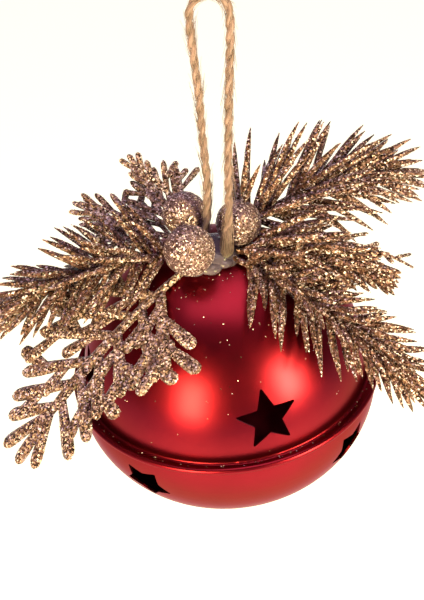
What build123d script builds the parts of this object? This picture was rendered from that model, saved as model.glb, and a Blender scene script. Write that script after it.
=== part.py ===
from build123d import *

from dataclasses import dataclass
import math
import os

# Jingle bell ornament: two stamped shells with a loose ball inside, a jute hanging
# loop, and berries and evergreen sprigs set in a mound of glue on top.
#
# Millimetres, +Z up. The origin is the hang point, inside the loop's apex. The
# pieces are made in the bell's own frame, where Z is the bell's axis and z = 0 is
# near the plane of its rim, and are moved below the hang point when written.

# Place of the bell below the hang point
AXIS_X = -4.5           # the loop leans to +X of the bell's axis
TOP_DROP = 74.6         # to the top of the dome

# Shells
SHEET = 0.6             # wall of both shells
RIM_R = 40.0            # outside of the crimp that holds the ledge
LEDGE_WIDTH = 3.2       # foot of the dome to the outside of the crimp
LEDGE_TOP_Z = -0.3      # flat ledge around the foot of the dome
FOOT_BEND_R = 0.7       # bend between the dome and the ledge, outside
DOME_CENTRE_Z = 0.6
CRIMP_GRIP = 0.7        # how far the crimp reaches over the ledge
CRIMP_OVERHANG = 1.0    # how far the crimp stands out over the bowl
SEAM_GAP = 0.02         # ledge's edge to the inside of the crimp
BOWL_DEPTH = 34.5
BOWL_FLATNESS = 0.9547  # radius of the round floor, as a share of a half ellipse's

# Star cut-outs
STARS = 4               # in each shell
STAR_ROUND = 0.35
STAR_PUNCH = 3.0        # how far the punch reaches each way through the wall
UPPER_STAR_TIP_R = 8.6
UPPER_STAR_NOTCH_R = 3.8
UPPER_STAR_TURN = 2.1   # degrees from upright
UPPER_STAR_AZIMUTH = 14.5
UPPER_STAR_GAP = 2.55   # above the ledge
LOWER_STAR_TIP_R = 7.0
LOWER_STAR_NOTCH_R = 4.3
LOWER_STAR_TURN = 36.0  # one point straight down
LOWER_STAR_AZIMUTH = -38.5
LOWER_STAR_GAP = 2.3    # below the crimp

# Loose ball
BALL_R = 5.0
BALL_GAP = 0.4          # to the floor

# Wire eye through the top of the dome
EYE_WIRE_R = 0.5
EYE_HALF_WIDTH = 0.95
EYE_STAND = 2.2         # above the dome
EYE_LEG = 6.0           # splayed leg inside the dome
EYE_BEND_R = 0.7
EYE_HOLE_GAP = 0.25

# Glue mound
GLUE_R = 9.0
GLUE_HEIGHT = 4.0       # above the dome's top

# Hanging loop of jute cord
CORD_D = 2.0
ARC_SHARE = 0.45        # of the shorter run, taken by each bend
CORD_ROUTE = (          # below the hang point, from the glue up, over and back
    (-6.8, 0.5, -73.2),
    (-6.2, 0.3, -67.5),
    (-4.9, 0.1, -59.5),
    (-4.4, -0.3, -49.0),
    (-4.6, 0.2, -37.5),
    (-4.3, 0.0, -25.5),
    (-4.8, 0.3, -12.5),
    (-5.0, 0.0, -1.1),
    (0.0, 0.0, 1.8),
    (5.0, 0.0, -1.1),
    (4.2, -0.6, -12.0),
    (2.9, -0.9, -25.5),
    (1.7, -1.9, -38.0),
    (0.7, -2.2, -49.5),
    (0.2, -3.8, -58.5),
    (-0.9, -4.3, -66.0),
    (-1.7, -4.0, -72.6),
)

# Berries on wires: name, radius, centre from the dome's top
BERRIES = (
    ("front", 6.2, (-6.1, -7.3, 7.5)),
    ("back", 5.5, (-6.4, 5.6, 9.2)),
    ("right", 5.6, (6.8, 2.4, 7.1)),
)
BERRY_WIRE_R = 0.5
BERRY_WIRE_BITE = 3.0    # length inside the berry
BERRY_FOOT_SHARE = 0.45  # of the berry's distance from the axis
BERRY_FOOT_HEIGHT = 1.1  # above the dome's top

# Sprigs: a bent leaf blade with a comb of needles or lobes on a round stem
STEM_R = 0.8
STEM_SHARE = 0.9        # of the length, before the blade runs on alone
BLADE = 1.2             # thickness of the foliage
WEB = 1.1               # half width of the foliage along the stem
SPRIG_FOOT_R = 6.0      # where a stem enters the glue, from the axis


@dataclass
class Sprig:
    """Shape of one sprig. Azimuths run from -Y towards +X. Pairs are foot, tip."""
    foot_azimuth: float     # where the stem enters the glue
    heading: float          # azimuth that the stem runs in
    foot_height: float      # above the dome's top
    length: float           # along the stem
    slope: tuple            # degrees above the dome's skin under the foot
    first: float            # place of the first leaves on the stem
    pitch: float
    leaf: tuple             # leaf length
    lean: tuple             # leaf angle to the stem
    width: tuple            # half width of a leaf, at its root and at its end


PINE = (0.9, 0.3)
CEDAR = (2.1, 1.6)
SPRIGS = {
    "pine_sprig_upper_right": Sprig(150, 115, 1.2, 46, (28, -9), 11, 3.4, (16, 12), (60, 34), PINE),
    "pine_sprig_lower_right": Sprig(52, 54, 0.9, 48, (1, -25), 9, 3.4, (15, 11), (60, 34), PINE),
    "pine_sprig_left": Sprig(-88, -88, 1.2, 41, (15, -16), 8, 3.4, (15, 11), (60, 34), PINE),
    "pine_spray_right": Sprig(72, 76, 1.4, 40, (21, -21), 9, 3.4, (9, 7), (55, 28), (1.1, 0.5)),
    "cedar_spray_front": Sprig(-57, -57, 0.8, 61, (-5, -31), 14, 8.4, (13, 9), (52, 38), CEDAR),
    "cedar_sprig_back": Sprig(-145, -142, 0.8, 27, (31, 45), 9, 6.0, (8, 6), (46, 36), CEDAR),
    "cedar_sprig_left": Sprig(-116, -115, 1.6, 28, (17, 25), 9, 6.0, (9, 7), (50, 40), CEDAR),
    "bud_twig_right": Sprig(95, 96, 0.6, 52, (17, -41), 24, 7.0, (8, 5), (48, 40), (0.8, 1.3)),
}

DOME_R = RIM_R - LEDGE_WIDTH
BOWL_R = RIM_R - CRIMP_OVERHANG
DOME_TOP_Z = DOME_CENTRE_Z + DOME_R
RIM_DROP = TOP_DROP + DOME_TOP_Z
CRIMP_BOTTOM_Z = LEDGE_TOP_Z - 2 * SHEET
CRIMP_TOP_Z = LEDGE_TOP_Z + SHEET
CRIMP_ROUND = (CRIMP_TOP_Z - CRIMP_BOTTOM_Z) / 2
LEDGE_R = RIM_R - SHEET - SEAM_GAP
UPPER_STAR_Z = LEDGE_TOP_Z + UPPER_STAR_GAP + UPPER_STAR_TIP_R
LOWER_STAR_Z = CRIMP_BOTTOM_Z - LOWER_STAR_GAP - LOWER_STAR_TIP_R
EYE_HOLE_R = EYE_HALF_WIDTH + EYE_WIRE_R + EYE_HOLE_GAP
GLUE_CENTRE_Z = DOME_TOP_Z + GLUE_HEIGHT - GLUE_R
FOOT_TILT = math.degrees(math.asin(SPRIG_FOOT_R / DOME_R))

# The bowl's shoulder is an arc tangent to its round floor, upright just under the
# crimp. The two arcs meet on the line through their centres.
BOWL_DROP = BOWL_DEPTH + CRIMP_BOTTOM_Z
BOWL_FLOOR_R = BOWL_FLATNESS * BOWL_R**2 / BOWL_DROP
FLOOR_CENTRE_Z = BOWL_FLOOR_R - BOWL_DEPTH
FLOOR_RISE = BOWL_FLOOR_R - BOWL_DROP
SHOULDER_R = (BOWL_FLOOR_R**2 - BOWL_R**2 - FLOOR_RISE**2) / (2 * (BOWL_FLOOR_R - BOWL_R))
SHOULDER_X = BOWL_R - SHOULDER_R
FLATTER = math.copysign(1, BOWL_FLOOR_R - SHOULDER_R)
SHOULDER_ANGLE = math.degrees(math.atan2(-FLOOR_RISE * FLATTER, SHOULDER_X * FLATTER))


def polar(centre, radius, angle):
    """Point in the XZ plane at an angle in degrees from +X."""
    turn = math.radians(angle)
    return (centre[0] + radius * math.cos(turn), 0, centre[1] + radius * math.sin(turn))


def arc(centre, radius, start, end):
    """Arc in the XZ plane between two angles in degrees."""
    return ThreePointArc(*[polar(centre, radius, a) for a in (start, (start + end) / 2, end)])


def lines(*points):
    """Straight lines in the XZ plane through (x, z) points."""
    return Polyline(*[(x, 0, z) for x, z in points])


def section(*edges):
    """Closed face in the XZ plane."""
    return make_face(Curve() + list(edges))


def tube(path, radius):
    """Round bar along a path."""
    start = Plane(path @ 0, z_dir=path % 0)
    return sweep(start * Circle(radius), path=path, transition=Transition.ROUND)


def bar(start, end, radius):
    """Straight round bar between two points."""
    run = Vector(*end) - Vector(*start)
    return extrude(Plane(start, z_dir=run) * Circle(radius), run.length)


def axis_point(azimuth, radius):
    """Point around the bell's axis, its azimuth from -Y towards +X."""
    turn = math.radians(azimuth)
    return Vector(radius * math.sin(turn), -radius * math.cos(turn), 0)


def wall_plane(azimuth, radius, z, slope):
    """Plane on a shell's wall, facing outwards, its x level and its y up the wall."""
    out = axis_point(azimuth, 1)
    level = axis_point(azimuth + 90, 1)
    tilt = math.radians(slope)
    normal = out * math.cos(tilt) + Vector(0, 0, math.sin(tilt))
    return Plane(out * radius + Vector(0, 0, z), x_dir=level, z_dir=normal)


def star_face(tip_r, notch_r, turn):
    """Five-pointed star, turned from upright by an angle in degrees."""
    points = []
    for i in range(10):
        reach = notch_r if i % 2 else tip_r
        at = math.radians(90 + turn + 36 * i)
        points.append((reach * math.cos(at), reach * math.sin(at)))
    star = make_face(Polyline(*points, close=True))
    return fillet(star.vertices(), STAR_ROUND)


def star_cutters(star, azimuth, radius, z, slope):
    """Star prisms through the wall, evenly spaced around the bell."""
    cutters = []
    for i in range(STARS):
        plane = wall_plane(azimuth + 360 / STARS * i, radius, z, slope)
        cutters.append(extrude(plane * star, STAR_PUNCH, both=True))
    return cutters


def make_upper_shell():
    centre = (0, DOME_CENTRE_Z)
    inside_r = DOME_R - SHEET
    ledge_bottom = LEDGE_TOP_Z - SHEET
    foot = math.degrees(math.asin((LEDGE_TOP_Z - DOME_CENTRE_Z) / DOME_R))
    inside_foot = math.degrees(math.asin((ledge_bottom - DOME_CENTRE_Z) / inside_r))
    outer = arc(centre, DOME_R, 90, foot)
    inner = arc(centre, inside_r, inside_foot, 90)
    ledge = lines(
        ((outer @ 1).X, LEDGE_TOP_Z),
        (LEDGE_R, LEDGE_TOP_Z),
        (LEDGE_R, ledge_bottom),
        ((inner @ 0).X, ledge_bottom),
    )
    crown = lines((0, DOME_TOP_Z - SHEET), (0, DOME_TOP_Z))
    profile = section(outer, ledge, inner, crown)
    for corner, bend in ((outer @ 1, FOOT_BEND_R), (inner @ 0, FOOT_BEND_R + SHEET)):
        nearest = profile.vertices().sort_by_distance(corner)[0]
        profile = fillet(nearest, bend)
    shell = revolve(profile, Axis.Z)
    shell -= Pos(0, 0, DOME_TOP_Z) * Cylinder(EYE_HOLE_R, 4 * SHEET)
    slope = math.degrees(math.asin((UPPER_STAR_Z - DOME_CENTRE_Z) / DOME_R))
    radius = DOME_R * math.cos(math.radians(slope))
    star = star_face(UPPER_STAR_TIP_R, UPPER_STAR_NOTCH_R, UPPER_STAR_TURN)
    return shell - star_cutters(star, UPPER_STAR_AZIMUTH, radius, UPPER_STAR_Z, slope)


def make_lower_shell():
    floor = (0, FLOOR_CENTRE_Z)
    shoulder = (SHOULDER_X, CRIMP_BOTTOM_Z)
    crimp_x = RIM_R - CRIMP_ROUND
    crimp = arc((crimp_x, LEDGE_TOP_Z - SHEET / 2), CRIMP_ROUND, -90, 90)
    ledge_bottom = LEDGE_TOP_Z - SHEET
    profile = section(
        arc(floor, BOWL_FLOOR_R, -90, SHOULDER_ANGLE),
        arc(shoulder, SHOULDER_R, SHOULDER_ANGLE, 0),
        lines((BOWL_R, CRIMP_BOTTOM_Z), (crimp_x, CRIMP_BOTTOM_Z)),
        crimp,
        lines(
            (crimp_x, CRIMP_TOP_Z),
            (LEDGE_R - CRIMP_GRIP, CRIMP_TOP_Z),
            (LEDGE_R - CRIMP_GRIP, LEDGE_TOP_Z),
            (RIM_R - SHEET, LEDGE_TOP_Z),
            (RIM_R - SHEET, ledge_bottom),
            (BOWL_R - SHEET, ledge_bottom),
            (BOWL_R - SHEET, CRIMP_BOTTOM_Z),
        ),
        arc(shoulder, SHOULDER_R - SHEET, 0, SHOULDER_ANGLE),
        arc(floor, BOWL_FLOOR_R - SHEET, SHOULDER_ANGLE, -90),
        lines((0, SHEET - BOWL_DEPTH), (0, -BOWL_DEPTH)),
    )
    slope = math.degrees(math.asin((LOWER_STAR_Z - CRIMP_BOTTOM_Z) / SHOULDER_R))
    radius = SHOULDER_X + SHOULDER_R * math.cos(math.radians(slope))
    star = star_face(LOWER_STAR_TIP_R, LOWER_STAR_NOTCH_R, LOWER_STAR_TURN)
    cutters = star_cutters(star, LOWER_STAR_AZIMUTH, radius, LOWER_STAR_Z, slope)
    return revolve(profile, Axis.Z) - cutters


def make_jingle_ball():
    return Pos(0, 0, SHEET - BOWL_DEPTH + BALL_GAP + BALL_R) * Sphere(BALL_R)


def make_hanger_eye():
    under = DOME_TOP_Z - SHEET - EYE_WIRE_R - EYE_HOLE_GAP
    reach = EYE_HALF_WIDTH + EYE_LEG
    inside_r = DOME_R - SHEET
    droop = inside_r - math.sqrt(inside_r**2 - reach**2)
    top = DOME_TOP_Z + EYE_STAND
    half = [
        (0, reach, under - droop),
        (0, EYE_HALF_WIDTH, under),
        (0, EYE_HALF_WIDTH, top),
    ]
    other = [(x, -y, z) for x, y, z in reversed(half)]
    bend = EYE_BEND_R
    crown = EYE_HALF_WIDTH * 0.95
    path = FilletPolyline(*half, *other, radius=[bend, crown, crown, bend])
    return tube(path, EYE_WIRE_R)


def make_cord():
    points = [Vector(*p) for p in CORD_ROUTE]
    radii = []
    for before, here, after in zip(points, points[1:], points[2:]):
        turn = math.radians((here - before).get_angle(after - here))
        run = min((here - before).length, (after - here).length)
        radii.append(ARC_SHARE * run / math.tan(turn / 2))
    path = FilletPolyline(*points, radius=radii)
    cord = tube(path, CORD_D / 2)
    expected = math.pi * (CORD_D / 2) ** 2 * path.length
    print("cord radii", [round(r, 1) for r in radii])
    print("cord length", round(path.length, 1), "volume", round(cord.volume / expected, 4))
    return Pos(-AXIS_X, 0, RIM_DROP) * cord


def berry_centre(offset):
    return Vector(*offset) + Vector(0, 0, DOME_TOP_Z)


def make_berry_wire(radius, out):
    foot = Vector(out.X * BERRY_FOOT_SHARE, out.Y * BERRY_FOOT_SHARE, DOME_TOP_Z + BERRY_FOOT_HEIGHT)
    along = (foot - out).normalized()
    return bar(out + along * (radius - BERRY_WIRE_BITE), foot, BERRY_WIRE_R)


def blend(start, end, share):
    return start + (end - start) * share


def leaf_outline(sprig, place):
    """Plan of the foliage: a comb of leaves along both sides of the stem."""
    root, tip = sprig.width
    count = int((sprig.length - sprig.first) / sprig.pitch)
    side = []
    for i in range(count):
        share = i / count
        at = sprig.first + sprig.pitch * i
        reach = blend(*sprig.leaf, share)
        lean = math.radians(blend(*sprig.lean, share))
        ahead = reach * math.cos(lean)
        out = STEM_R + reach * math.sin(lean)
        side.append((place(at - root), WEB))
        side.append((place(at + ahead - tip), out + tip / 2))
        side.append((place(at + ahead + tip), out - tip / 2))
        side.append((place(at + root), WEB))
    nose = sprig.length + sprig.leaf[1] / 2
    points = side + [(place(nose), tip), (place(nose), -tip)]
    points += [(x, -y) for x, y in reversed(side)]
    return make_face(Polyline(*[(x, y, 0) for x, y in points], close=True))


def make_sprig(sprig):
    """Stem and blade bent along an arc that leaves the glue and droops or rises."""
    rise, fall = [slope - FOOT_TILT for slope in sprig.slope]
    bend_r = sprig.length / math.radians(rise - fall)
    up = 90 + rise
    foot_z = DOME_TOP_Z + sprig.foot_height
    centre_x, _, centre_z = polar((0, foot_z), -bend_r, up)
    centre = (centre_x, centre_z)

    def angle(along):
        return up - math.degrees(along / bend_r)

    def place(along):
        return polar(centre, bend_r, angle(along))[0]

    end = angle(sprig.length + sprig.leaf[0])
    over = bend_r + BLADE / 2
    under = bend_r - BLADE / 2
    strip = section(
        arc(centre, over, up, end),
        Line(polar(centre, over, end), polar(centre, under, end)),
        arc(centre, under, end, up),
        Line(polar(centre, under, up), polar(centre, over, up)),
    )
    strip = extrude(strip, 2 * sprig.leaf[0], both=True)
    blade = strip & extrude(leaf_outline(sprig, place), 4 * sprig.length, both=True)
    stem = tube(arc(centre, bend_r, up, angle(STEM_SHARE * sprig.length)), STEM_R)
    foot = axis_point(sprig.foot_azimuth, SPRIG_FOOT_R)
    return Pos(foot) * Rot(0, 0, sprig.heading - 90) * (stem + blade)


def make_glue(buried):
    mound = Pos(0, 0, GLUE_CENTRE_Z) * Sphere(GLUE_R)
    mound -= Pos(0, 0, DOME_CENTRE_Z) * Sphere(DOME_R)
    return mound - buried


nodes = {
    "upper_shell": make_upper_shell(),
    "lower_shell": make_lower_shell(),
    "jingle_ball": make_jingle_ball(),
    "hanger_eye": make_hanger_eye(),
    "hanging_cord": make_cord(),
}
for name, radius, offset in BERRIES:
    centre = berry_centre(offset)
    wire = make_berry_wire(radius, centre)
    nodes["berry_wire_" + name] = wire
    nodes["berry_" + name] = Pos(centre) * Sphere(radius) - wire
for name, sprig in SPRIGS.items():
    nodes[name] = make_sprig(sprig)
outside_glue = ("upper_shell", "lower_shell", "jingle_ball")
nodes["glue_mound"] = make_glue([n for k, n in nodes.items() if k not in outside_glue])

os.makedirs("parts", exist_ok=True)
for name, node in nodes.items():
    placed = Pos(AXIS_X, 0, -RIM_DROP) * node
    placed.label = name
    export_step(placed, f"parts/{name}.step")
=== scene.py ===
"""Jingle bell ornament: the look of each piece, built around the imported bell."""
import logging
import math
import random
from dataclasses import dataclass
from enum import Enum

import bmesh
import bpy
from mathutils import Matrix, Quaternion, Vector, noise


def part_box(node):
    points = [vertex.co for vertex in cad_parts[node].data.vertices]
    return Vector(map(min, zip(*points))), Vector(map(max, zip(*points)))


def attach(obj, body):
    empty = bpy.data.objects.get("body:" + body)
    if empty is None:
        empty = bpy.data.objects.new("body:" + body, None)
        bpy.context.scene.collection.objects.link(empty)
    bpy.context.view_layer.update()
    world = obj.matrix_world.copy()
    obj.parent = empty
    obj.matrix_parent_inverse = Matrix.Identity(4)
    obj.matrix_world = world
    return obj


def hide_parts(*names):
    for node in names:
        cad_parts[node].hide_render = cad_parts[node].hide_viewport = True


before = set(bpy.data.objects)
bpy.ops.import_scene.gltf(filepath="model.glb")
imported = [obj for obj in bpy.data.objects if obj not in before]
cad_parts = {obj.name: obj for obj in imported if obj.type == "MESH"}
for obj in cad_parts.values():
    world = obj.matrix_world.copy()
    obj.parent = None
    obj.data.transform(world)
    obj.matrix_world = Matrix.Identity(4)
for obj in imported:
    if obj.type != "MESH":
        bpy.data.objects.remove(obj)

LOG = logging.getLogger("bell")
MM = 0.001
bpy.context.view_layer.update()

DOME_LOW, DOME_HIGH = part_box("upper_shell")
BOWL_LOW, BOWL_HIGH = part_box("lower_shell")
AXIS = (BOWL_LOW + BOWL_HIGH) / 2
DOME_TOP = DOME_HIGH.z
SHEET = 0.6 * MM
WELD = 0.001 * MM  # vertices closer than this are merged
RIM_Z = BOWL_HIGH.z - SHEET / 2
LEDGE_Z = BOWL_HIGH.z - SHEET
LEDGE_WIDTH = 2.58 * MM  # foot of the dome to the upper shell's edge
DOME_RADIUS = (DOME_HIGH.x - DOME_LOW.x) / 2 - LEDGE_WIDTH


# ---- shaders


class Value:
    """A node's output, which adds Math nodes when it is used in an expression."""

    def __init__(self, tree: "Tree", socket: bpy.types.NodeSocket) -> None:
        """Keeps the node tree and the socket."""
        self.tree = tree
        self.socket = socket

    def other(self, name: str) -> "Value":
        """Returns another output of the same node."""
        return Value(self.tree, self.socket.node.outputs[name])

    def math(self, operation: str, *others: object) -> "Value":
        """Returns this value put through one Math node with the others."""
        inputs = dict(enumerate((self, *others)))
        return self.tree.node("ShaderNodeMath", inputs, operation=operation)

    def __add__(self, other: object) -> "Value":
        """self + other."""
        return self.math("ADD", other)

    def __sub__(self, other: object) -> "Value":
        """self - other."""
        return self.math("SUBTRACT", other)

    def __rsub__(self, other: object) -> "Value":
        """other - self."""
        return self.tree.node("ShaderNodeMath", {0: other, 1: self}, operation="SUBTRACT")

    def __mul__(self, other: object) -> "Value":
        """self * other."""
        return self.math("MULTIPLY", other)

    __radd__ = __add__
    __rmul__ = __mul__


class Tree:
    """A node tree, built node by node."""

    def __init__(self, tree: bpy.types.NodeTree) -> None:
        """Empties the tree and keeps its nodes and links."""
        self.nodes = tree.nodes
        self.links = tree.links
        self.nodes.clear()

    def node(self, kind: str, inputs: dict | None = None, output: int | str = 0,
             stops: tuple = (), **settings: object) -> Value | None:
        """Adds one node.

        Args:
            kind: the node's type.
            inputs: values or links, by the socket's name or number.
            output: the output to return.
            stops: positions and colours of a colour ramp.
            settings: the node's own settings.

        Returns:
            The wanted output, or None from a node that has no outputs.
        """
        node = self.nodes.new(kind)
        for name, value in settings.items():
            setattr(node, name, value)
        if stops:
            elements = node.color_ramp.elements
            for spare in list(elements)[1:]:
                elements.remove(spare)
            elements[0].position, elements[0].color = stops[0][0], (*stops[0][1], 1)
            for position, colour in stops[1:]:
                elements.new(position).color = (*colour, 1)
        for name, value in (inputs or {}).items():
            if isinstance(value, Value):
                self.links.new(value.socket, node.inputs[name])
            else:
                node.inputs[name].default_value = value
        return Value(self, node.outputs[output]) if node.outputs else None


class Shader(Tree):
    """A material's node tree, with the nodes that the finishes share."""

    def __init__(self, name: str) -> None:
        """Starts an empty material.

        Args:
            name: the material's name.
        """
        self.material = bpy.data.materials.new(name)
        self.material.use_nodes = True
        super().__init__(self.material.node_tree)

    def place(self) -> Value:
        """Returns the object coordinates."""
        return self.node("ShaderNodeTexCoord", output="Object")

    def noise(self, place: Value, scale: float, detail: float, roughness: float = 0.5) -> Value:
        """Returns a noise value about 0.5."""
        inputs = {"Vector": place, "Scale": scale, "Detail": detail, "Roughness": roughness}
        return self.node("ShaderNodeTexNoise", inputs, "Fac")

    def channel(self, colour: Value, output: str) -> Value:
        """Returns the Red, Green or Blue of a colour."""
        return self.node("ShaderNodeSeparateColor", {0: colour}, output)

    def vector(self, operation: str, *values: object) -> Value:
        """Returns a Vector Math node's vector."""
        return self.node("ShaderNodeVectorMath", dict(enumerate(values)), operation=operation)

    def mix(self, share: Value, low: tuple, high: tuple) -> Value:
        """Returns two colours mixed."""
        inputs = {0: share, 6: (*low, 1), 7: (*high, 1)}
        return self.node("ShaderNodeMix", inputs, 2, data_type="RGBA")

    def ramp(self, value: Value, *stops: tuple) -> Value:
        """Returns a colour ramp's colour."""
        return self.node("ShaderNodeValToRGB", {0: value}, stops=stops)

    def bump(self, height: Value, distance: float, strength: float) -> Value:
        """Returns a bumped normal."""
        inputs = {"Height": height, "Distance": distance, "Strength": strength}
        return self.node("ShaderNodeBump", inputs)

    def finish(self, **inputs: object) -> bpy.types.Material:
        """Closes the tree with a Principled surface.

        Args:
            inputs: its sockets, with an underscore for each space.

        Returns:
            The material.
        """
        named = {name.replace("_", " "): value for name, value in inputs.items()}
        surface = self.node("ShaderNodeBsdfPrincipled", named)
        self.node("ShaderNodeOutputMaterial", {"Surface": surface})
        return self.material


# ---- finishes


@dataclass(frozen=True)
class RedLacquer:
    """Satin metallic red over stamped steel."""
    deep: tuple = (0.155, 0.0, 0.010)
    bright: tuple = (0.22, 0.002, 0.016)
    edge: tuple = (0.62, 0.30, 0.42)
    roughness: float = 0.33
    smudge: float = 0.08  # how far the roughness wanders
    grain: float = 0.02 * MM

    def material(self) -> bpy.types.Material:
        """Returns the lacquer's material."""
        tree = Shader("red_lacquer")
        place = tree.place()
        colour = tree.mix(tree.noise(place, scale=60, detail=3), self.deep, self.bright)
        steady = self.roughness - self.smudge / 2
        rough = tree.noise(place, scale=300, detail=4) * self.smudge + steady
        normal = tree.bump(tree.noise(place, scale=4200, detail=2), self.grain, 0.25)
        return tree.finish(Base_Color=colour, Metallic=1.0, Roughness=rough, Normal=normal,
                           Specular_Tint=(*self.edge, 1), Coat_Weight=0.20, Coat_Roughness=0.3)


@dataclass(frozen=True)
class Glitter:
    """Plastic under a coat of glitter: dark gaps deepened with painted shade, flakes that each
    tilt their own way, and painted glints.
    """
    name: str
    # gap_and_shade: the dark plastic between flakes, darkened further as painted shade
    gap_and_shade: tuple = (0.040, 0.015, 0.011)
    dull: tuple = (0.138, 0.055, 0.052)
    flake: tuple = (0.35, 0.172, 0.190)
    # painted glint: near-white colour that stands in for flakes catching the softboxes
    painted_glint: tuple = (1.0, 0.78, 1.0)
    shares: tuple = (0.28, 0.66, 0.88)  # where dull, flake and the painted glint begin
    blur: float = 0.03  # from one tone to the next
    metal: float = 0.25
    roughness: tuple = (0.25, 0.5)
    cells: float = 2300.0
    tilt: float = 1.6

    def material(self) -> bpy.types.Material:
        """Returns the glitter's material."""
        tree = Shader(self.name)
        cell = tree.node("ShaderNodeTexVoronoi", {"Vector": tree.place(), "Scale": self.cells},
                         "Color")
        flake = tree.node("ShaderNodeAttribute", output="Fac", attribute_name="flake")
        pick = tree.channel(cell, "Red").math("MAXIMUM", flake)
        stops, last = [], self.gap_and_shade
        for share, tone in zip(self.shares, (self.dull, self.flake, self.painted_glint)):
            stops += [(share, last), (share + self.blur, tone)]
            last = tone
        colour = tree.ramp(pick, *stops)
        lean = tree.vector("SUBTRACT", cell, (0.5, 0.5, 0.5))
        lean = tree.vector("MULTIPLY", lean, (self.tilt,) * 3)
        facing = tree.node("ShaderNodeNewGeometry", output="Normal")
        normal = tree.vector("NORMALIZE", tree.vector("ADD", facing, lean))
        low, high = self.roughness
        rough = high - tree.channel(cell, "Green") * (high - low)
        return tree.finish(Base_Color=colour, Metallic=self.metal, Roughness=rough, Normal=normal)


@dataclass(frozen=True)
class Jute:
    """Tan bast fibres that run along each ply."""
    dark: tuple = (0.09, 0.054, 0.046)
    tan: tuple = (0.215, 0.118, 0.145)
    pale: tuple = (0.39, 0.232, 0.295)
    stops: tuple = (0.28, 0.5, 0.75)  # where dark, tan and pale are pure
    streaks: tuple = (30, 9, 1)  # over the ply's own map
    furrow: float = 0.12 * MM

    def material(self) -> bpy.types.Material:
        """Returns the jute's material."""
        tree = Shader("jute")
        uv = tree.node("ShaderNodeUVMap", uv_map="UVMap")
        along = tree.node("ShaderNodeMapping", {"Vector": uv, "Scale": self.streaks})
        streak = tree.noise(along, scale=1, detail=4, roughness=0.7)
        blotch = tree.noise(tree.place(), scale=260, detail=3)
        pick = streak * 0.8 + blotch * 0.5 - 0.15
        colour = tree.ramp(pick, *zip(self.stops, (self.dark, self.tan, self.pale)))
        return tree.finish(Base_Color=colour, Roughness=0.85,
                           Normal=tree.bump(streak, self.furrow, 0.8), Sheen_Weight=0.3,
                           Sheen_Roughness=0.5)


@dataclass(frozen=True)
class HotGlue:
    """Set hot glue: cloudy, greyish and glossy."""
    tint: tuple = (0.19, 0.135, 0.24)
    milk: tuple = (0.38, 0.28, 0.47)
    ripple: float = 0.2 * MM

    def material(self) -> bpy.types.Material:
        """Returns the glue's material."""
        tree = Shader("hot_glue")
        place = tree.place()
        colour = tree.mix(tree.noise(place, scale=350, detail=3), self.tint, self.milk)
        normal = tree.bump(tree.noise(place, scale=900, detail=3), self.ripple, 0.6)
        return tree.finish(Base_Color=colour, Roughness=0.18, Normal=normal,
                           Transmission_Weight=0.55, IOR=1.47)


@dataclass(frozen=True)
class Steel:
    """Bare steel wire and ball, lightly scuffed."""
    name: str
    tint: tuple = (0.52, 0.51, 0.50)
    shade: float = 0.7  # of the tint where it is darkest
    scratch: float = 0.03 * MM

    def material(self) -> bpy.types.Material:
        """Returns the steel's material."""
        tree = Shader(self.name)
        scuff = tree.noise(tree.place(), scale=900, detail=4)
        colour = tree.mix(scuff, tuple(part * self.shade for part in self.tint), self.tint)
        return tree.finish(Base_Color=colour, Metallic=1.0, Roughness=scuff * 0.3 + 0.15,
                           Normal=tree.bump(scuff, self.scratch, 0.3))


# ---- mesh helpers


@dataclass
class Strand:
    """One round strand: its points, and its radius at each."""
    points: list[Vector]
    radii: list[float]


def shown(name: str, data: bpy.types.ID) -> bpy.types.Object:
    """Returns a new object of the scene that holds the data."""
    piece = bpy.data.objects.new(name, data)
    bpy.context.scene.collection.objects.link(piece)
    return piece


def piece_of(mesh: bmesh.types.BMesh, name: str) -> bpy.types.Object:
    """Turns a bmesh into a mesh object and frees it.

    Args:
        mesh: the bmesh.
        name: the object's name.

    Returns:
        The mesh object.
    """
    data = bpy.data.meshes.new(name)
    mesh.to_mesh(data)
    mesh.free()
    return shown(name, data)


def lerp(start: float, end: float, share: float) -> float:
    """Returns the value a share of the way from start to end."""
    return start + (end - start) * share


def curve_of(name: str, strands: list[Strand], sides: int, steps: int) -> bpy.types.Object:
    """Makes one curve object from strands.

    Args:
        name: the object's name.
        strands: the strands, each a smooth spline.
        sides: the bevel's resolution; 0 gives four sides.
        steps: points made between each two given points.

    Returns:
        The curve object, linked to the scene.
    """
    data = bpy.data.curves.new(name, "CURVE")
    data.dimensions = "3D"
    data.bevel_depth = 1.0
    data.bevel_resolution = sides
    data.use_fill_caps = True
    for strand in strands:
        spline = data.splines.new("NURBS")
        spline.points.add(len(strand.points) - 1)
        for point, place, radius in zip(spline.points, strand.points, strand.radii):
            point.co = (*place, 1)
            point.radius = radius
        spline.order_u = min(4, len(strand.points))
        spline.use_endpoint_u = True
        spline.resolution_u = steps
    return shown(name, data)


def baked(piece: bpy.types.Object, name: str) -> bpy.types.Object:
    """Replaces an object by the mesh that its curve or modifiers make.

    Args:
        piece: the object, which is removed.
        name: the new mesh object's name.

    Returns:
        The mesh object.
    """
    bpy.context.view_layer.update()
    graph = bpy.context.evaluated_depsgraph_get()
    mesh = bpy.data.meshes.new_from_object(piece.evaluated_get(graph))
    bpy.data.objects.remove(piece)
    mesh.name = name
    return shown(name, mesh)


def strand_mesh(name: str, strands: list[Strand], sides: int, steps: int) -> bpy.types.Object:
    """Makes one mesh object of capped round strands.

    Args:
        name: the object's name.
        strands: the strands.
        sides: as in curve_of.
        steps: as in curve_of.

    Returns:
        The mesh object, its doubles merged and its faces turned outwards.
    """
    made = baked(curve_of(name, strands, sides, steps), name)
    mesh = bmesh.new()
    mesh.from_mesh(made.data)
    bmesh.ops.remove_doubles(mesh, verts=mesh.verts, dist=WELD)
    bmesh.ops.recalc_face_normals(mesh, faces=mesh.faces)
    mesh.to_mesh(made.data)
    mesh.free()
    return made


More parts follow.
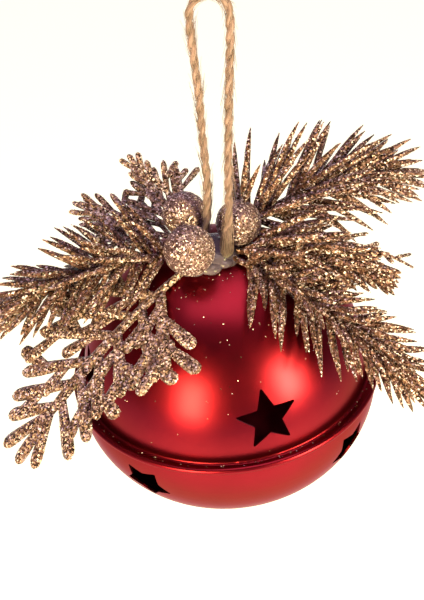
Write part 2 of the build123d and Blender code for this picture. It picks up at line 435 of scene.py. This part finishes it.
def joined(pieces: list[bpy.types.Object], name: str) -> bpy.types.Object:
    """Joins mesh objects into one and returns it."""
    target = pieces[0]
    with bpy.context.temp_override(active_object=target, selected_editable_objects=pieces):
        bpy.ops.object.join()
    target.name = name
    target.data.name = name
    return target


def smooth(piece: bpy.types.Object) -> bpy.types.Object:
    """Shades every face smooth and returns the piece."""
    piece.data.polygons.foreach_set("use_smooth", [True] * len(piece.data.polygons))
    return piece


@dataclass(frozen=True)
class FlakeCoat:
    """Loose flakes of glitter scattered over a surface."""
    density: float = 2.3e6  # a square metre
    size: float = 0.42 * MM
    thickness: float = 0.3  # share of the size
    tilt: float = 1.0  # radians
    growth: tuple = (0.6, 1.25)  # shares of the size
    shine: tuple = (0.35, 1.0)  # the "flake" number that Glitter reads
    # high draws give loose flakes the painted glint tone, and none fall to the darkest tone with
    # its painted shade
    seed: int = 1

    def draw(self, tree: Tree, step: int, low: object, high: object) -> Value:
        """Adds a random draw for each flake.

        Args:
            tree: the group's nodes.
            step: added to the seed, another one for each draw.
            low: the least number or vector.
            high: the greatest.

        Returns:
            The number or vector.
        """
        kind, output = ("FLOAT_VECTOR", 0) if isinstance(low, tuple) else ("FLOAT", 1)
        inputs = {"Min": low, "Max": high, "Seed": self.seed + step}
        return tree.node("FunctionNodeRandomValue", inputs, output, data_type=kind)

    def group(self) -> bpy.types.NodeTree:
        """Returns a node group that adds the flakes to a mesh."""
        group = bpy.data.node_groups.new("flake_coat", "GeometryNodeTree")
        for way in ("INPUT", "OUTPUT"):
            group.interface.new_socket("Geometry", in_out=way, socket_type="NodeSocketGeometry")
        tree = Tree(group)
        source = tree.node("NodeGroupInput")
        points = tree.node("GeometryNodeDistributePointsOnFaces",
                           {"Mesh": source, "Density": self.density, "Seed": self.seed})
        flake = tree.node("GeometryNodeMeshCone",
                          {"Vertices": 3, "Radius Top": 0.0, "Radius Bottom": self.size / 2,
                           "Depth": self.size * self.thickness})
        turn = self.draw(tree, 1, (-self.tilt, -self.tilt, 0), (self.tilt, self.tilt, math.pi))
        lean = tree.node("FunctionNodeRotateRotation",
                         {"Rotation": points.other("Rotation"),
                          "Rotate By": tree.node("FunctionNodeEulerToRotation", {0: turn})},
                         rotation_space="LOCAL")
        flakes = tree.node("GeometryNodeInstanceOnPoints",
                           {"Points": points, "Instance": flake, "Rotation": lean,
                            "Scale": self.draw(tree, 2, *self.growth)})
        flakes = tree.node("GeometryNodeStoreNamedAttribute",
                           {"Geometry": flakes, "Name": "flake",
                            "Value": self.draw(tree, 3, *self.shine)},
                           domain="INSTANCE", data_type="FLOAT")
        flakes = tree.node("GeometryNodeRealizeInstances", {"Geometry": flakes})
        whole = tree.node("GeometryNodeJoinGeometry", {"Geometry": flakes})
        tree.links.new(source.socket, whole.socket.node.inputs["Geometry"])
        tree.node("NodeGroupOutput", {0: whole})
        return group

    def dress(self, piece: bpy.types.Object) -> bpy.types.Object:
        """Adds the flakes to a mesh piece.

        Args:
            piece: the piece, which is replaced.

        Returns:
            The piece with flakes, as a plain mesh under the same name.
        """
        group = self.group()
        piece.modifiers.new("flake_coat", "NODES").node_group = group
        name = piece.name
        piece.name = name + "_bare"
        made = baked(piece, name)
        bpy.data.node_groups.remove(group)
        return made


def dressed(piece: bpy.types.Object, material: bpy.types.Material) -> bpy.types.Object:
    """Gives a piece its one material and returns it."""
    piece.data.materials.clear()
    piece.data.materials.append(material)
    return piece


def on_bell(piece: bpy.types.Object, slot: str, *nodes: str) -> None:
    """Makes a piece ride on the bell.

    Args:
        piece: the finished piece.
        slot: a material slot name; not used.
        nodes: the CAD nodes that it stands for.
    """
    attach(piece, "bell")
    if nodes:
        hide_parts(*nodes)
    LOG.info("%s: %d faces", piece.name, len(piece.data.polygons))


def toward(azimuth: float, elevation: float = 0.0) -> Vector:
    """Returns a direction: degrees from -Y towards +X, and degrees above level."""
    turn, tilt = math.radians(azimuth), math.radians(elevation)
    return Vector((math.sin(turn) * math.cos(tilt), -math.cos(turn) * math.cos(tilt),
                   math.sin(tilt)))


def bell_point(azimuth: float, radius: float, height: float) -> Vector:
    """Returns a point about the bell's axis."""
    return Vector((AXIS.x, AXIS.y, height)) + toward(azimuth) * radius


# ---- studio


@dataclass(frozen=True)
class Softbox:
    """One softbox that faces the bell."""
    name: str
    azimuth: float  # degrees from -Y towards +X
    elevation: float  # degrees above level
    distance: float  # from the bell's rim
    size: tuple
    power: float  # watts
    colour: tuple

    def build(self) -> None:
        """Makes the softbox."""
        data = bpy.data.lights.new(self.name, "AREA")
        data.shape = "RECTANGLE"
        data.size, data.size_y = self.size
        data.energy = self.power
        data.color = self.colour
        away = toward(self.azimuth, self.elevation)
        piece = shown(self.name, data)
        piece.location = Vector((AXIS.x, AXIS.y, RIM_Z)) + away * self.distance
        piece.rotation_euler = away.to_track_quat("Z", "Y").to_euler()


@dataclass
class Studio:
    """Pale floor, three softboxes and the camera."""
    elevation: float = 39.2
    roll: float = -6.0
    distance: float = 600 * MM
    lens: float = 137.9
    aim_right: float = -3.65 * MM
    aim_up: float = 17.2 * MM
    floor_drop: float = 260 * MM
    floor_size: float = 6.0
    floor_light: float = 0.62
    floor_tones: tuple = ((0.93, 0.93, 0.93), (0.96, 0.96, 0.96))
    air: float = 0.13
    backdrop: float = 1.0
    boxes: tuple = (
        Softbox("left_box", -29, 11, 0.7, (0.20, 0.34), 9.4, (1.0, 0.85, 0.29)),
        Softbox("right_box", 48, 12, 0.7, (0.20, 0.32), 10.4, (1.0, 0.94, 0.36)),
        Softbox("top_box", -10, 96, 0.8, (0.7, 0.55), 4.1, (1.0, 0.80, 0.76)),
    )

    def camera(self) -> None:
        """Makes the scene's camera."""
        turn = toward(0, self.elevation).to_track_quat("Z", "Y")
        turn = turn @ Quaternion((0, 0, 1), math.radians(self.roll))
        centre = Vector((AXIS.x, AXIS.y, RIM_Z))
        offset = Vector((self.aim_right, self.aim_up, self.distance))
        data = bpy.data.cameras.new("camera")
        data.lens = self.lens
        data.sensor_width = 36.0
        data.clip_start = 0.01
        piece = shown("camera", data)
        piece.location = centre + turn @ offset
        piece.rotation_euler = turn.to_euler()
        bpy.context.scene.camera = piece

    def floor(self) -> None:
        """Makes the pale floor."""
        mesh = bmesh.new()
        place = Matrix.Translation((AXIS.x, AXIS.y, BOWL_LOW.z - self.floor_drop))
        bmesh.ops.create_grid(mesh, x_segments=1, y_segments=1, size=self.floor_size / 2,
                              matrix=place)
        piece = piece_of(mesh, "floor")
        tree = Shader("floor")
        colour = tree.mix(tree.noise(tree.place(), scale=3, detail=2), *self.floor_tones)
        dressed(piece, tree.finish(Base_Color=colour, Roughness=0.8, Emission_Color=colour,
                                   Emission_Strength=self.floor_light))

    def world(self) -> None:
        """Makes a dim surround that the camera sees as white."""
        world = bpy.data.worlds.new("studio")
        world.use_nodes = True
        tree = Tree(world.node_tree)
        dim, pale = (tree.node("ShaderNodeBackground", {"Color": (1, 1, 1, 1), "Strength": light})
                     for light in (self.air, self.backdrop))
        seen = tree.node("ShaderNodeLightPath", output="Is Camera Ray")
        blend = tree.node("ShaderNodeMixShader", {0: seen, 1: dim, 2: pale})
        tree.node("ShaderNodeOutputWorld", {"Surface": blend})
        bpy.context.scene.world = world

    def build(self) -> None:
        """Makes the whole studio."""
        self.camera()
        self.floor()
        self.world()
        for box in self.boxes:
            box.build()
        view = bpy.context.scene.view_settings
        view.view_transform = "Standard"
        view.look = "None"


# ---- hanging cord


@dataclass(frozen=True)
class Station:
    """A place on the cord's centreline, with two directions across it."""
    along: float
    place: Vector
    across: Vector
    over: Vector

    def off(self, turn: float, reach: float) -> Vector:
        """Returns the point at an angle round the cord and a reach from its centre."""
        return self.place + (self.across * math.cos(turn) + self.over * math.sin(turn)) * reach


@dataclass
class HangingCord:
    """Loop of two-ply jute twine, from the glue up over the hang point and back."""
    diameter: float = 2.0 * MM
    ply_radius: float = 0.66 * MM
    twist_radius: float = 0.41 * MM
    pitch: float = 9.0 * MM
    steps_a_turn: int = 18
    fibres: int = 560
    fibre_radius: float = 0.05 * MM
    fibre_reach: float = 1.4 * MM
    fibre_foot: float = 0.38  # share of the diameter
    fibre_steps: tuple = (6, 20)  # how many stations a fibre passes
    frayed_fibres: int = 80
    frayed_reach: float = 2.2 * MM
    frayed_steps: tuple = (12, 22)  # how many stations from the end they start
    frayed_swell: tuple = ((0.0, 0.5), (0.35, 0.95), (0.7, 1.0), (1.0, 0.5))
    route: tuple = (  # millimetres from the hang point
        (-6.8, 0.5, -73.2), (-6.2, 0.3, -67.5), (-4.9, 0.1, -59.5), (-4.4, -0.3, -49.0),
        (-4.6, 0.2, -37.5), (-4.3, 0.0, -25.5), (-4.8, 0.3, -12.5), (-5.0, 0.0, -1.1),
        (0.0, 0.0, 1.8), (5.0, 0.0, -1.1), (4.2, -0.6, -12.0), (2.9, -0.9, -25.5),
        (1.7, -1.9, -38.0), (0.7, -2.2, -49.5), (0.2, -3.8, -58.5), (-0.9, -4.3, -66.0),
        (-1.7, -4.0, -72.6),
    )

    def line(self) -> list[Vector]:
        """Returns points along the smooth route."""
        data = bpy.data.curves.new("cord_route", "CURVE")
        data.dimensions = "3D"
        spline = data.splines.new("NURBS")
        spline.points.add(len(self.route) - 1)
        for point, place in zip(spline.points, self.route):
            point.co = (*(Vector(place) * MM), 1)
        spline.order_u = 3
        spline.use_endpoint_u = True
        spline.resolution_u = 12
        made = baked(shown("cord_route", data), "cord_route")
        points = [vertex.co.copy() for vertex in made.data.vertices]
        bpy.data.objects.remove(made)
        return points

    def stations(self, points: list[Vector]) -> list[Station]:
        """Returns evenly spaced stations on the line.

        Args:
            points: the line's points.

        Returns:
            The stations, from the left strand's foot to the right strand's.
        """
        step = self.pitch / self.steps_a_turn
        found, across, done, due = [], Vector((0, 1, 0)), 0.0, 0.0
        for start, end in zip(points, points[1:]):
            run = end - start
            along = run.normalized()
            across = (across - along * across.dot(along)).normalized()
            while due <= done + run.length:
                place = start + along * (due - done)
                found.append(Station(due, place, across, along.cross(across)))
                due += step
            done += run.length
        return found

    def plies(self, stations: list[Station]) -> list[Strand]:
        """Returns the two twisted plies."""
        strands = []
        dice = random.Random(11)
        for phase in (0.0, math.pi):
            points, radii, swell = [], [], 0.0
            for station in stations:
                turn = math.tau * station.along / self.pitch + phase
                swell = swell * 0.8 + dice.uniform(-0.05, 0.05)
                points.append(station.off(turn, self.twist_radius))
                radii.append(self.ply_radius * (1 + swell))
            strands.append(Strand(points, radii))
        return strands

    def fuzz(self, stations: list[Station]) -> list[Strand]:
        """Returns loose fibres that stand off the plies."""
        dice = random.Random(12)
        strands = []
        radii = [self.fibre_radius * share for share in (1.2, 1.0, 0.8, 0.5)]
        for _ in range(self.fibres):
            reach = dice.uniform(0.25, 1.0) ** 1.6 * self.fibre_reach
            turn = dice.uniform(0, math.tau)
            drift = dice.uniform(-0.7, 0.7)
            span = dice.randint(*self.fibre_steps)
            first = dice.randrange(0, len(stations) - span - 1)
            points = []
            for share in (0.0, 0.35, 0.7, 1.0):
                out = self.diameter * self.fibre_foot + reach * share ** 1.4
                station = stations[first + int(span * share)]
                points.append(station.off(turn + drift * share, out))
            strands.append(Strand(points, radii))
        return strands

    def frayed_end(self, stations: list[Station]) -> list[Strand]:
        """Returns the fibres that splay where the right strand enters the glue."""
        dice = random.Random(13)
        last = len(stations) - 1
        strands = []
        for _ in range(self.frayed_fibres):
            turn = dice.uniform(0, math.tau)
            reach = dice.uniform(0.4, 1.0) * self.frayed_reach
            first = last + 1 - dice.randint(*self.frayed_steps)
            points = [stations[round(lerp(first, last, share))].off(turn, reach * swell)
                      for share, swell in self.frayed_swell]
            strands.append(Strand(points, [self.fibre_radius * 1.5] * len(points)))
        return strands

    def build(self, jute: bpy.types.Material) -> None:
        """Makes the cord.

        Args:
            jute: its material.
        """
        points = self.line()
        stations = self.stations(points)
        plies = smooth(strand_mesh("jute_cord_plies", self.plies(stations), sides=3, steps=1))
        loose = self.fuzz(stations) + self.frayed_end(stations)
        fibres = strand_mesh("jute_cord_fibres", loose, sides=0, steps=2)
        cord = joined([plies, fibres], "jute_cord")
        dressed(cord, jute)
        on_bell(cord, "jute", "hanging_cord")


# ---- sprigs


class Side(Enum):
    """Side of a stem."""
    LEFT = -1
    RIGHT = 1


@dataclass
class Sprig:
    """A stem that leaves the glue and bends along an arc, with its foliage.

    Angles are in degrees, and a pair of values holds for the foot and for the tip.
    """
    node: str
    foot: tuple  # its azimuth on the glue, and height over the dome
    heading: float  # azimuth that it points to
    length: float
    slope: tuple
    seed: int
    foot_radius: float = 6.0 * MM
    stem_radius: float = 0.8 * MM
    stem_share: float = 0.95
    stem_points: int = 9
    taper: float = 0.55
    wobble: float = 0.3 * MM
    flatness: float = 1.0  # of the foliage

    def lay(self, point: Vector) -> Vector:
        """Moves a point from the flat sprig onto its arc.

        Args:
            point: distance along the stem, to its right, and over it.

        Returns:
            The point in the object's frame.
        """
        rise, fall = (math.radians(angle) for angle in self.slope)
        bend = self.length / (rise - fall)
        slope = rise - point.x / bend
        out = bend * (math.sin(rise) - math.sin(slope)) - point.z * math.sin(slope)
        up = bend * (math.cos(slope) - math.cos(rise)) + point.z * math.cos(slope)
        ahead, right = toward(self.heading), toward(self.heading + 90)
        azimuth, height = self.foot
        foot = bell_point(azimuth, self.foot_radius, DOME_TOP + height)
        return foot + ahead * out + right * point.y + Vector((0, 0, up))

    def stem(self) -> Strand:
        """Returns the stem, tapered to its end."""
        dice = random.Random(self.seed + 50)
        points, radii = [], []
        last = self.stem_points - 1
        for i in range(self.stem_points):
            along = self.length * self.stem_share * i / last
            aside = dice.uniform(-1, 1) * self.wobble * min(i, 2)
            points.append(Vector((along, aside, 0)))
            radii.append(lerp(self.stem_radius, self.stem_radius * self.taper, i / last))
        return Strand(points, radii)

    def leaves(self) -> list[Strand]:
        """Returns the foliage on the flat sprig."""
        return []

    def build(self, material: bpy.types.Material, coat: FlakeCoat) -> None:
        """Makes the sprig.

        Args:
            material: its glitter.
            coat: its loose flakes.
        """
        leaves = strand_mesh(self.node + "_leaves", self.leaves(), sides=1, steps=3)
        for vertex in leaves.data.vertices:
            vertex.co.z *= self.flatness
        stem = strand_mesh(self.node + "_stem", [self.stem()], sides=2, steps=4)
        piece = smooth(joined([stem, leaves], self.node + "_foliage"))
        for vertex in piece.data.vertices:
            vertex.co = self.lay(vertex.co)
        piece.data.update()
        piece = coat.dress(piece)
        dressed(piece, material)
        on_bell(piece, "sprig_glitter", self.node)


@dataclass
class PineSprig(Sprig):
    """Long pointed needles all round the stem."""
    first: float = 9 * MM
    pitch: float = 3.3 * MM
    needle: tuple = (20 * MM, 15 * MM)
    lean: tuple = (68.0, 36.0)
    side_rows: tuple = (0.0, 180.0)
    inner_rows: tuple = (40.0, 75.0, 110.0, 145.0, 215.0, -35.0)
    inner_share: float = 0.75
    tip_needles: int = 14
    tip_lean: tuple = (4, 34)  # least and most
    girth: float = 0.82 * MM
    depth: float = 0.95  # share of the width
    swell: tuple = ((0, 0.7), (0.25, 0.95), (0.6, 1.0), (0.85, 0.75), (1, 0.12))

    def needle_strand(self, dice: random.Random, along: float, reach: float, lean: float,
                      roll: float) -> Strand:
        """Returns one needle.

        Args:
            dice: the sprig's own random draws.
            along: where it leaves the stem.
            reach: its length.
            lean: its angle to the stem, in radians.
            roll: its angle about the stem, in radians.

        Returns:
            The needle, slightly bent forwards.
        """
        out = Vector((0, math.cos(roll), math.sin(roll) * self.depth))
        curl = dice.uniform(0.0, 0.15) * reach
        points, radii = [], []
        for share, swell in self.swell:
            ahead = reach * share * math.cos(lean) + curl * share ** 2
            points.append(Vector((along + ahead, 0, 0)) + out * (reach * share * math.sin(lean)))
            radii.append(self.girth * swell)
        return Strand(points, radii)

    def leaves(self) -> list[Strand]:
        """Returns the needles, shorter and closer to the stem towards its tip."""
        dice = random.Random(self.seed)
        strands = []
        count = int((self.length - self.first) / self.pitch)
        for i in range(count):
            share = i / count
            for angle in self.side_rows + self.inner_rows:
                along = self.first + self.pitch * (i + dice.uniform(-0.4, 0.4))
                reach = lerp(*self.needle, share) * dice.uniform(0.84, 1.08)
                if angle in self.inner_rows:
                    reach *= self.inner_share
                lean = math.radians(lerp(*self.lean, share) + dice.uniform(-8, 8))
                roll = math.radians(angle + dice.uniform(-14, 14))
                strands.append(self.needle_strand(dice, along, reach, lean, roll))
        for i in range(self.tip_needles):
            lean = math.radians(dice.uniform(*self.tip_lean))
            roll = math.tau * i / self.tip_needles
            tip = self.length * self.stem_share
            strands.append(self.needle_strand(dice, tip, self.needle[1], lean, roll))
        return strands


@dataclass
class CedarSprig(Sprig):
    """Flat spray of side branches that fork into rounded fingers."""
    first: float = 9 * MM
    pitch: float = 7.0 * MM
    branch: tuple = (18 * MM, 15 * MM)
    lean: tuple = (54.0, 38.0)
    forks: tuple = (2, 1)  # fingers that fork off a branch
    fork_angle: tuple = (34, 46)  # least and most
    fork_reach: tuple = (0.40, 0.56)  # least and most share of the branch
    tip_angles: tuple = (-26, 0, 24)
    tip_share: float = 0.14  # of the stem, in which the tip forks
    girth: float = 1.5 * MM
    flatness: float = 0.55
    swell: tuple = ((0, 0.62), (0.3, 0.72), (0.65, 0.96), (0.88, 1), (0.97, 0.72), (1, 0.12))

    def finger(self, start: Vector, angle: float, reach: float, girth: float,
               lift: float) -> Strand:
        """Returns one rounded finger.

        Args:
            start: where it leaves its branch.
            angle: its direction from the stem's, in radians.
            reach: its length.
            girth: its half width near its end.
            lift: how far its end stands over the spray.

        Returns:
            The finger.
        """
        way = Vector((math.cos(angle), math.sin(angle), 0))
        points, radii = [], []
        for share, swell in self.swell:
            points.append(start + way * (reach * share) + Vector((0, 0, lift * share ** 2)))
            radii.append(girth * swell)
        return Strand(points, radii)

    def branch_strands(self, dice: random.Random, along: float, side: Side, reach: float,
                       lean: float, count: int) -> list[Strand]:
        """Returns one side branch with its fingers.

        Args:
            dice: the sprig's own random draws.
            along: where it leaves the stem.
            side: which side it is on.
            reach: its length.
            lean: its angle to the stem, in radians.
            count: how many fingers fork off it.

        Returns:
            Its strands.
        """
        angle = lean * side.value
        lift = dice.uniform(-1.5, 2.5) * MM
        start = Vector((along, 0, 0))
        way = Vector((math.cos(angle), math.sin(angle), 0))
        strands = [self.finger(start, angle, reach, self.girth, lift)]
        for i in range(count):
            share = (i + 1.1) / (count + 1.4)
            turn = 1 if (i % 2 == 0) == (side is Side.RIGHT) else -1
            fork = angle - turn * math.radians(dice.uniform(*self.fork_angle))
            place = start + way * (reach * share) + Vector((0, 0, lift * share ** 2))
            length = reach * dice.uniform(*self.fork_reach)
            rise = dice.uniform(-0.5, 0.8) * MM
            strands.append(self.finger(place, fork, length, self.girth * 0.95, rise))
        return strands

    def leaves(self) -> list[Strand]:
        """Returns every branch and the forked tip."""
        dice = random.Random(self.seed)
        strands = []
        count = int((self.length - self.first) / self.pitch)
        for i in range(count):
            share = i / max(1, count - 1)
            for side in Side:
                stagger = 0.3 if side is Side.LEFT else 0.0
                along = self.first + self.pitch * (i + stagger + dice.uniform(-0.1, 0.1))
                reach = lerp(*self.branch, share) * dice.uniform(0.88, 1.1)
                lean = math.radians(lerp(*self.lean, share) + dice.uniform(-6, 6))
                forks = round(lerp(*self.forks, share))
                strands += self.branch_strands(dice, along, side, reach, lean, forks)
        tip = Vector((self.length * (1 - self.tip_share), 0, 0))
        for angle in self.tip_angles:
            reach = self.length * self.tip_share + self.branch[1] * dice.uniform(0.35, 0.55)
            strands.append(self.finger(tip, math.radians(angle), reach, self.girth, 0))
        foot = Vector((0, 0, 0))
        strands.append(self.finger(foot, 0, self.length * 0.9, self.girth * 0.9, 0))
        return strands


@dataclass
class BudTwig(Sprig):
    """Thin twig with small swollen buds."""
    first: float = 20 * MM
    pitch: float = 4.6 * MM
    bud: float = 1.0 * MM
    bud_shares: tuple = (0.35, 0.7, 1.0)
    shoot: tuple = (11 * MM, 8 * MM)
    shoot_radius: float = 0.45 * MM

    def leaves(self) -> list[Strand]:
        """Returns the shoots and the buds along them."""
        dice = random.Random(self.seed)
        strands = []
        count = int((self.length - self.first) / self.pitch)
        for i in range(count):
            along = self.first + self.pitch * i
            side = 1 if i % 2 else -1
            reach = lerp(*self.shoot, i / count) * dice.uniform(0.3, 1.0)
            angle = math.radians(dice.uniform(20, 42)) * side
            way = Vector((math.cos(angle), math.sin(angle), dice.uniform(-0.3, 0.3)))
            start = Vector((along, 0, 0))
            middle, end = start + way * reach * 0.5, start + way * reach
            strands.append(Strand([start, middle, end], [self.shoot_radius] * 3))
            for share in self.bud_shares:
                centre = start + way * reach * share
                size = self.bud * dice.uniform(0.6, 1.05)
                ends = (centre - way * size * 1.4, centre, centre + way * size * 1.4)
                strands.append(Strand(list(ends), [size * 0.35, size, size * 0.3]))
        return strands


# ---- berries and glue


@dataclass
class Berry:
    """Foam ball rolled in fine glitter."""
    name: str
    seed: int
    lump: float = 0.12 * MM

    def build(self, material: bpy.types.Material, coat: FlakeCoat) -> None:
        """Makes the berry.

        Args:
            material: its glitter.
            coat: its loose flakes.
        """
        low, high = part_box("berry_" + self.name)
        centre, radius = (low + high) / 2, (high.x - low.x) / 2
        mesh = bmesh.new()
        bmesh.ops.create_icosphere(mesh, subdivisions=5, radius=radius + self.lump,
                                   matrix=Matrix.Translation(centre))
        for vertex in mesh.verts:
            out = (vertex.co - centre).normalized()
            wave = noise.noise(out * 3.0 + Vector((self.seed, 0, 0)))
            wave += 0.6 * noise.noise(out * 14.0)
            vertex.co += out * wave * self.lump
        piece = coat.dress(smooth(piece_of(mesh, "glitter_berry_" + self.name)))
        dressed(piece, material)
        on_bell(piece, "berry_glitter", "berry_" + self.name)


@dataclass
class GlueMound:
    """Hot glue over the crown: a lumpy mound, and three blobs along its front."""
    blobs: tuple = (  # centre from the dome's top and half sizes, in millimetres
        ((0, 0, 0.2), (6.6, 6.6, 3.4)),
        ((-1.4, -6.0, 0.3), (3.0, 2.2, 1.4)),
        ((2.2, -4.9, 0.6), (2.1, 1.7, 1.2)),
        ((-5.5, -5.6, 0.0), (3.0, 2.4, 1.4)),
    )
    lump: float = 0.16  # share of the size
    lumps: float = 420  # a metre
    seed: int = 5

    def build(self, material: bpy.types.Material) -> None:
        """Makes the glue.

        Args:
            material: the glue's material.
        """
        mesh = bmesh.new()
        for centre, size in self.blobs:
            centre = Vector((AXIS.x, AXIS.y, DOME_TOP)) + Vector(centre) * MM
            place = Matrix.Translation(centre) @ Matrix.Diagonal((*(Vector(size) * MM), 1))
            made = bmesh.ops.create_icosphere(mesh, subdivisions=4, radius=1.0, matrix=place)
            for vertex in made["verts"]:
                wave = noise.noise(vertex.co * self.lumps + Vector((self.seed, 0, 0)))
                vertex.co += (vertex.co - centre) * self.lump * wave
        piece = dressed(smooth(piece_of(mesh, "hot_glue")), material)
        on_bell(piece, "clear_glue", "glue_mound")


@dataclass
class LooseGlitter:
    """Stray flakes that stuck to the dome and in the seam."""
    dome_flakes: int = 360
    dome_polar: tuple = (11, 90)  # degrees from the top
    seam_flakes: int = 200
    seam_band: tuple = (0.5 * MM, 1.9 * MM)  # outwards from the dome's foot
    seam_lift: float = 0.05 * MM
    size: float = 0.22 * MM
    seed: int = 21
    stars: int = 4
    star_azimuth: float = 14.5
    star_height: float = 10.85 * MM  # over the rim
    star_reach: float = 8.8 * MM

    def over_star(self, place: Vector) -> bool:
        """Returns whether a place on the dome is over a star opening."""
        radius = math.sqrt(DOME_RADIUS ** 2 - self.star_height ** 2)
        for i in range(self.stars):
            azimuth = self.star_azimuth + 360 / self.stars * i
            star = bell_point(azimuth, radius, RIM_Z + self.star_height)
            if (place - star).length < self.star_reach:
                return True
        return False

    def flake(self, mesh: bmesh.types.BMesh, dice: random.Random, centre: Vector,
              out: Vector) -> None:
        """Adds one flake.

        Args:
            mesh: the mesh to add it to.
            dice: random draws.
            centre: its centre.
            out: the surface's normal.
        """
        turn = out.to_track_quat("Z", "Y") @ Quaternion((0, 0, 1), dice.uniform(0, math.tau))
        place = Matrix.Translation(centre) @ turn.to_matrix().to_4x4()
        size = self.size * dice.uniform(0.6, 1.2)
        bmesh.ops.create_cone(mesh, cap_ends=True, segments=6, radius1=size, radius2=size * 0.8,
                              depth=size * 0.3, matrix=place)

    def build(self, material: bpy.types.Material) -> None:
        """Makes the flakes.

        Args:
            material: their glitter.
        """
        dice = random.Random(self.seed)
        mesh = bmesh.new()
        centre = Vector((AXIS.x, AXIS.y, DOME_TOP - DOME_RADIUS))
        for _ in range(self.dome_flakes):
            polar = math.radians(lerp(*self.dome_polar, dice.random() ** 2))
            azimuth = dice.uniform(0, math.tau)
            out = Vector((math.sin(polar) * math.cos(azimuth), math.sin(polar) * math.sin(azimuth),
                          math.cos(polar)))
            place = centre + out * DOME_RADIUS
            if not self.over_star(place):
                self.flake(mesh, dice, place, out)
        for _ in range(self.seam_flakes):
            azimuth = dice.uniform(0, 360)
            radius = DOME_RADIUS + dice.uniform(*self.seam_band)
            place = bell_point(azimuth, radius, LEDGE_Z + self.seam_lift)
            self.flake(mesh, dice, place, Vector((0, 0, 1)))
        piece = dressed(piece_of(mesh, "stray_glitter"), material)
        on_bell(piece, "sprig_glitter")


@dataclass
class Metalwork:
    """The pieces that keep their CAD shape and get a finish."""
    shells: tuple = ("upper_shell", "lower_shell")
    wires: tuple = ("hanger_eye", "berry_wire_front", "berry_wire_back", "berry_wire_right")
    balls: tuple = ("jingle_ball",)

    def finish(self, names: tuple, material: bpy.types.Material) -> None:
        """Gives CAD nodes a material.

        Args:
            names: the nodes.
            material: their material.
        """
        for name in names:
            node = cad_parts[name]
            if not node.material_slots:
                node.data.materials.append(material)
            for place in node.material_slots:
                place.material = material
            LOG.info("%s: %s", name, material.name)

    def build(self) -> None:
        """Finishes every metal piece."""
        self.finish(self.shells, RedLacquer().material())
        self.finish(self.wires, Steel("wire_steel").material())
        self.finish(self.balls, Steel("ball_steel").material())


def sprigs() -> list[Sprig]:
    """Returns every sprig, each along the arc of its CAD blade."""
    return [
        PineSprig("pine_sprig_upper_right", foot=(150, 1.2 * MM), heading=115, length=46 * MM,
                  slope=(18.6, -18.4), seed=1, first=5 * MM, needle=(26 * MM, 16 * MM),
                  lean=(64.0, 32.0), inner_share=0.92),
        PineSprig("pine_sprig_lower_right", foot=(52, 0.9 * MM), heading=54, length=48 * MM,
                  slope=(-8.4, -34.4), seed=2, first=5 * MM, needle=(19 * MM, 15 * MM)),
        PineSprig("pine_sprig_left", foot=(-88, 1.2 * MM), heading=-88, length=41 * MM,
                  slope=(5.6, -25.4), seed=3, first=7 * MM, needle=(23 * MM, 17 * MM)),
        PineSprig("pine_spray_right", foot=(72, 1.4 * MM), heading=76, length=36 * MM,
                  slope=(11.6, -28.0), seed=4, first=2 * MM, needle=(22 * MM, 7 * MM),
                  lean=(36.0, 24.0), inner_share=0.95, girth=0.95 * MM),
        CedarSprig("cedar_spray_front", foot=(-57, 0.8 * MM), heading=-57, length=61 * MM,
                   slope=(-14.4, -40.4), seed=5, first=11 * MM, pitch=7.4 * MM,
                   branch=(25 * MM, 16 * MM), lean=(58.0, 50.0), forks=(5, 0),
                   girth=2.0 * MM, flatness=0.4),
        CedarSprig("cedar_sprig_back", foot=(-145, 0.8 * MM), heading=-142, length=27 * MM,
                   slope=(21.6, 35.6), seed=6, first=3 * MM, pitch=3.6 * MM,
                   branch=(18 * MM, 6 * MM), lean=(30.0, 18.0), girth=0.9 * MM),
        CedarSprig("cedar_sprig_left", foot=(-116, 1.6 * MM), heading=-115, length=28 * MM,
                   slope=(7.6, 15.6), seed=7, first=4 * MM, pitch=4.2 * MM,
                   branch=(19 * MM, 11 * MM), lean=(36.0, 22.0), girth=1.0 * MM),
        BudTwig("bud_twig_right", foot=(95, 0.6 * MM), heading=96, length=52 * MM,
                slope=(7.6, -50.4), seed=8, stem_radius=0.6 * MM),
    ]


def main() -> None:
    """Builds the studio and every piece."""
    logging.basicConfig(level=logging.INFO, format="%(name)s %(message)s")
    Studio().build()
    HangingCord().build(Jute().material())
    Metalwork().build()
    # each glitter's darkest tone holds painted shade, and its brightest tone is a painted glint
    pine = Glitter("pine_glitter").material()
    cedar = Glitter("cedar_glitter", dull=(0.215, 0.106, 0.106),
                    flake=(0.55, 0.35, 0.40)).material()
    copper = Glitter("berry_glitter", gap_and_shade=(0.065, 0.030, 0.022), dull=(0.165, 0.082, 0.108),
                     flake=(0.28, 0.166, 0.232), shares=(0.16, 0.58, 0.87), metal=0.5,
                     cells=2900.0, tilt=1.0).material()
    for sprig in sprigs():
        glitter = cedar if isinstance(sprig, CedarSprig) else pine
        sprig.build(glitter, FlakeCoat(seed=sprig.seed))
    for seed, name in enumerate(("front", "back", "right"), start=31):
        coat = FlakeCoat(density=5e6, size=0.3 * MM, tilt=0.7, seed=seed)
        Berry(name, seed).build(copper, coat)
    GlueMound().build(HotGlue().material())
    LooseGlitter().build(cedar)


if __name__ == "__main__":
    main()
